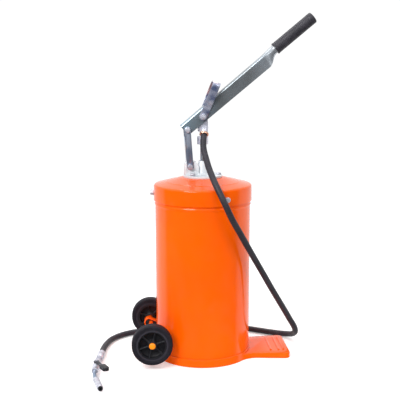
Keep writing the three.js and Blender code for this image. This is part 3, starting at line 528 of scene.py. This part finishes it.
def add_lever():
    """The lever: a channel, open below, that closes into a tube for the grip."""
    neck = NECK_END - CHANNEL["front"]
    stations = [CHANNEL["rear"], CHANNEL["rear"] + 1]
    stations += [CHANNEL["rear"] + 20 * i for i in range(1, 14)]
    stations += [CHANNEL["front"] + i * neck / NECK_STEPS for i in range(NECK_STEPS + 1)]
    stations += [290, 330, TUBE["end"]]
    rows = [lever_row(x) for x in stations]
    count = len(rows[0])
    verts = [(x * MM, y * MM, z * MM) for x, row in zip(stations, rows) for y, z in row]
    faces = []
    for i in range(len(rows) - 1):
        for k in range(count):
            n = (k + 1) % count
            faces.append((i * count + k, (i + 1) * count + k, (i + 1) * count + n, i * count + n))
    half = count // 2
    for start, flip in ((0, False), ((len(rows) - 1) * count, True)):
        for k in range(half - 1):
            quad = (start + k, start + k + 1, start + count - 2 - k, start + count - 1 - k)
            faces.append(quad[::-1] if flip else quad)
    lever = piece("pump_lever", moved(verts, LEVER_FRAME), faces, LEVER_PLATE, "lever_arm", "lever", 45)
    bevel(lever, 0.7, 40)


GRIP_R, GRIP_GROOVE_R = 15.5, 15.2
GRIP_BORE_R = 12.35
GRIP_GROOVES, GRIP_PITCH = 24, 4.6


def add_grip():
    """A rubber sleeve with fine grooves, a rounded end and a collar towards the lever."""
    profile = [(0, 381), (11.5, 381), *arc(12.5, 378, 3, 90, 0, 5)]
    for i in range(GRIP_GROOVES):
        x = 371 - GRIP_PITCH * i
        profile += [(GRIP_R, x), (GRIP_R, x - 3.1), (GRIP_GROOVE_R, x - 3.5), (GRIP_GROOVE_R, x - 4.2)]
    profile += [
        (GRIP_R, 259), (16.1, 257.5), (16.1, 255.5), (15.2, 254), (GRIP_BORE_R, 254), (GRIP_BORE_R, 262),
    ]
    verts, faces = lathe_data(profile, 40)
    lift = Matrix.Translation((0, 0, TUBE["centre"] * MM))
    turn = LEVER_FRAME @ lift @ Matrix.Rotation(math.radians(90), 4, "Y")
    piece("grip_sleeve", moved(verts, turn), faces, GRIP, "lever_arm", "lever_grip", 50)


# ---- wheels -------------------------------------------------------------------------------

WHEEL_X, WHEEL_Y, WHEEL_Z = -0.139, 0.1206, 0.065
TREAD_R, TREAD_GROOVE_R = 52.7, 51.7
TREAD_RIBS = (-7.6, -4.4, -1.2, 2.0, 5.2)
SPOKES = 6


def add_wheels():
    """Both wheels, each turned so that its own +Z, the outer face, points away from the drum."""
    for side, sign in (("front", -1), ("rear", 1)):
        centre = Matrix.Translation((WHEEL_X, sign * WHEEL_Y, WHEEL_Z))
        place = centre @ Matrix.Rotation(-sign * math.pi / 2, 4, "X")
        body = f"{side}_wheel"
        add_tyre(side, place, body)
        add_rim(side, place, body)


def add_tyre(side, place, body):
    """A solid tyre with ribs round its tread and a shallow groove in each side wall."""
    ribs = []
    for z in TREAD_RIBS:
        ribs += [(TREAD_R, z), (TREAD_R, z + 2.2), (TREAD_GROOVE_R, z + 2.5), (TREAD_GROOVE_R, z + 2.9)]
    ribs = ribs[:-2]
    profile = [
        (37.0, -13.5), (41.5, -13.5), (42.2, -12.9), (43.2, -12.9), (43.9, -13.5),
        (47, -13.2), *arc(48.2, -9, 4.4, -75, -12, 5), *ribs,
        *arc(48.2, 9, 4.4, 12, 75, 5), (47, 13.2), (43.9, 13.5), (43.2, 12.9),
        (42.2, 12.9), (41.5, 13.5), (37.0, 13.5),
    ]
    verts, faces = lathe_data(profile, 96, closed=True)
    piece(f"tread_{side}", moved(verts, place), faces, TYRE, body, f"tyre_{side}", 40)


def add_rim(side, place, body):
    """A moulded rim: a dished web with a hub, and thin spokes on each face."""
    web = [
        (6.35, -15), (11, -15), (12.5, -13.5), (12.5, -4), (13.5, -3), (29.5, -3), (31, -4.5), (31, -11),
        (36.6, -11), (36.6, 11), (35.6, 11.6), (34.2, 11.2), (33.4, 9.5), (31.6, 3.2), (30.4, 2.2),
        (14, 2.0), (12.6, 3.4), (11.6, 11.5), (10.4, 13), (6.35, 13),
    ]
    verts, faces = lathe_data(web, 72, closed=True)
    # one spoke as (radius, half its width, height) along its length
    spans = [(11.5, 1.9, 10.0), (16, 1.5, 8.6), (22, 1.3, 8.0), (28, 1.4, 8.4), (33.6, 1.9, 9.4)]
    for k in range(2 * SPOKES):
        turn = Matrix.Rotation(2 * math.pi * (k % SPOKES) / SPOKES + math.radians(17), 4, "Z")
        if k >= SPOKES:
            turn = turn @ Matrix.Rotation(math.pi, 4, "X") @ Matrix.Translation((0, 0, 1 * MM))
        start = len(verts)
        for r, half, height in spans:
            ring = [
                (-half - 0.5, 1), (-half, height - 0.6), (-half + 0.6, height),
                (half - 0.6, height), (half, height - 0.6), (half + 0.5, 1),
            ]
            verts += moved([(r * MM, y * MM, z * MM) for y, z in ring], turn)
        sides = len(ring)
        for i in range(len(spans) - 1):
            for j in range(sides):
                a, b = start + sides * i + j, start + sides * i + (j + 1) % sides
                faces.append((a, a + sides, b + sides, b))
        faces.append(tuple(start + j for j in range(sides)))
        faces.append(tuple(start + sides * (len(spans) - 1) + j for j in reversed(range(sides))))
    piece(f"rim_{side}", moved(verts, place), faces, RIM, body, f"wheel_{side}", 40)


# ---- the CAD nodes that stay --------------------------------------------------------------

# the material of each node and the width of its softened edges in mm
FINISHES = {
    "foot_plate": (ENAMEL, 0), "lid_gasket": (SEAL, 0.2), "rod_wiper": (SEAL, 0.2),
    "pump_head": (CAST, 0.9), "pump_cylinder": (POLISHED, 0.2), "foot_valve_seat": (BRASS, 0.2),
    "foot_valve_ball": (POLISHED, 0), "intake_strainer": (BRIGHT_ZINC, 0.15),
    "pump_rod": (POLISHED, 0.4), "piston": (BRASS, 0.3), "piston_seal": (SEAL, 0.2),
    "rod_lock_nut": (BRIGHT_ZINC, 1.0), "rod_head": (BRIGHT_ZINC, 1.0), "outlet_gland": (COPPER, 0.8),
    "link": (BLUE_ZINC, 0.8), "bail": (BAIL_PLATE, 0.8), "axle": (ENAMEL, 0.8),
    "hose_ferrule": (BRIGHT_ZINC, 0.4), "swivel_nut": (BRIGHT_ZINC, 0.5), "valve_body": (BRIGHT_ZINC, 0.5),
    "outlet_nut": (BRIGHT_ZINC, 0.5), "spout_tube": (BLUE_ZINC, 0.2), "spout_sleeve": (BRIGHT_ZINC, 0.4),
    "spout_tip": (BLACK, 0.3), "valve_ball": (POLISHED, 0), "valve_stem": (BRIGHT_ZINC, 0.3),
    "valve_lever": (DARK_STEEL, 0.3), "valve_lever_sleeve": (BLACK, 1.0),
}


def finish_for(name):
    """The material and edge width of a node, by its name or by what its name starts with."""
    if name in FINISHES:
        return FINISHES[name]
    if name.startswith("axle_bracket"):
        return ENAMEL, 0.6
    if name.startswith("axle_bush"):
        return BLACK, 0.4
    if name.startswith("axle_cap"):
        return SHEEN_CAP_ENAMEL, 0.3
    return BRIGHT_ZINC, 0.5


SHARP_ANGLE = 32


def dress_nodes():
    """Gives each CAD node its material, smooth shading and softened edges."""
    for name, obj in NODES.items():
        material, width = finish_for(name)
        obj.data.materials.clear()
        obj.data.materials.append(material)
        obj.data.polygons.foreach_set("use_smooth", [True] * len(obj.data.polygons))
        weld = obj.modifiers.new("weld", "WELD")
        weld.merge_threshold = 0.00001
        if width:
            bevel(obj, width, SHARP_ANGLE)
        else:
            split = obj.modifiers.new("split", "EDGE_SPLIT")
            split.split_angle = math.radians(SHARP_ANGLE)


add_drum()
add_lid()
add_lever()
add_grip()
add_wheels()
dress_nodes()


# ---- floor, light and background ----------------------------------------------------------

FLOOR_X = (-1.6, 1.9)
FLOOR_Y = (-0.5, 2.4)
FLOOR_DROP = 0.0005       # keeps the paper just below the flat bottoms that stand on it


def add_floor():
    """White paper under the object, which ends a little in front of it and isn't mirrored in the enamel."""
    n = Nodes("white_floor")
    n.colour(n.mix(n.spread(n.noise(3.0), 0.0, 1.0), (0.90, 0.90, 0.90), (0.94, 0.94, 0.94)))
    n.rough(n.spread(n.noise(8.0), 0.60, 0.75))
    n.set(Specular_IOR_Level=0.2, Emission_Color=(1.0, 1.0, 1.0, 1.0), Emission_Strength=0.30)
    mesh = bpy.data.meshes.new("floor")
    (left, right), (near, far) = FLOOR_X, FLOOR_Y
    corners = [(left, near, 0), (right, near, 0), (right, far, 0), (left, far, 0)]
    mesh.from_pydata(corners, [], [(0, 1, 2, 3)])
    mesh.materials.append(n.material)
    floor = bpy.data.objects.new("floor", mesh)
    bpy.context.scene.collection.objects.link(floor)
    floor.location.z = -FLOOR_DROP
    floor.visible_glossy = False


def add_softbox(name, location, target, size, power):
    """A rectangular light that faces its target."""
    data = bpy.data.lights.new(name, "AREA")
    data.shape = "RECTANGLE"
    data.size, data.size_y = size
    data.energy = power
    light = bpy.data.objects.new(name, data)
    bpy.context.scene.collection.objects.link(light)
    light.location = location
    light.rotation_euler = (Vector(target) - Vector(location)).to_track_quat("-Z", "Y").to_euler()


WALL_LEAN = 0.15          # turns the edge between the walls and the dark front a little to one side
DARK_FRONT = (0.030, 0.031, 0.036, 1.0)
SOFT_WHITE = (0.97, 0.98, 1.0, 1.0)
WHITE = (1.0, 1.0, 1.0, 1.0)
MIRRORED_STRENGTH, LIT_STRENGTH, SEEN_STRENGTH = 0.9, 0.62, 1.05


def add_world():
    """A studio of soft white light, which glossy surfaces see with white walls and a dark front."""
    world = bpy.data.worlds.new("studio")
    bpy.context.scene.world = world
    world.use_nodes = True
    tree = world.node_tree
    tree.nodes.clear()
    link = tree.links.new

    def new(kind, **settings):
        node = tree.nodes.new(kind)
        for key, value in settings.items():
            setattr(node, key, value)
        return node

    def ramp(source, low, high):
        node = new("ShaderNodeMapRange", interpolation_type="SMOOTHSTEP")
        node.inputs["From Min"].default_value = low
        node.inputs["From Max"].default_value = high
        link(source, node.inputs["Value"])
        return node.outputs["Result"]

    parts = new("ShaderNodeSeparateXYZ")
    link(new("ShaderNodeTexCoord").outputs["Generated"], parts.inputs[0])
    lean = new("ShaderNodeMath", operation="MULTIPLY_ADD")
    link(parts.outputs["X"], lean.inputs[0])
    lean.inputs[1].default_value = WALL_LEAN
    link(parts.outputs["Y"], lean.inputs[2])
    walls = new("ShaderNodeMath", operation="MAXIMUM")
    link(ramp(lean.outputs[0], 0.02, 0.26), walls.inputs[0])
    link(ramp(parts.outputs["Z"], 0.12, 0.62), walls.inputs[1])
    shade = new("ShaderNodeMix", data_type="RGBA")
    shade.inputs[6].default_value = DARK_FRONT
    shade.inputs[7].default_value = WHITE
    link(walls.outputs[0], shade.inputs["Factor"])
    mirrored, lit, seen = (new("ShaderNodeBackground") for _ in range(3))
    link(shade.outputs[2], mirrored.inputs["Color"])
    mirrored.inputs["Strength"].default_value = MIRRORED_STRENGTH
    lit.inputs["Color"].default_value = SOFT_WHITE
    lit.inputs["Strength"].default_value = LIT_STRENGTH
    seen.inputs["Color"].default_value = WHITE
    seen.inputs["Strength"].default_value = SEEN_STRENGTH
    path = new("ShaderNodeLightPath")
    by_gloss, by_camera = new("ShaderNodeMixShader"), new("ShaderNodeMixShader")
    link(path.outputs["Is Glossy Ray"], by_gloss.inputs[0])
    link(lit.outputs[0], by_gloss.inputs[1])
    link(mirrored.outputs[0], by_gloss.inputs[2])
    link(path.outputs["Is Camera Ray"], by_camera.inputs[0])
    link(by_gloss.outputs[0], by_camera.inputs[1])
    link(seen.outputs[0], by_camera.inputs[2])
    link(by_camera.outputs[0], new("ShaderNodeOutputWorld").inputs["Surface"])


add_floor()
add_world()
add_softbox("key", (-1.5, -1.9, 2.1), (0, 0, 0.35), (1.3, 1.3), 62)
add_softbox("fill", (1.6, -1.9, 2.3), (0, 0, 0.35), (1.0, 1.0), 12)
add_softbox("top", (0.2, 0.8, 2.6), (0, 0, 0.4), (1.8, 1.4), 24)
bpy.context.scene.view_settings.view_transform = "Standard"
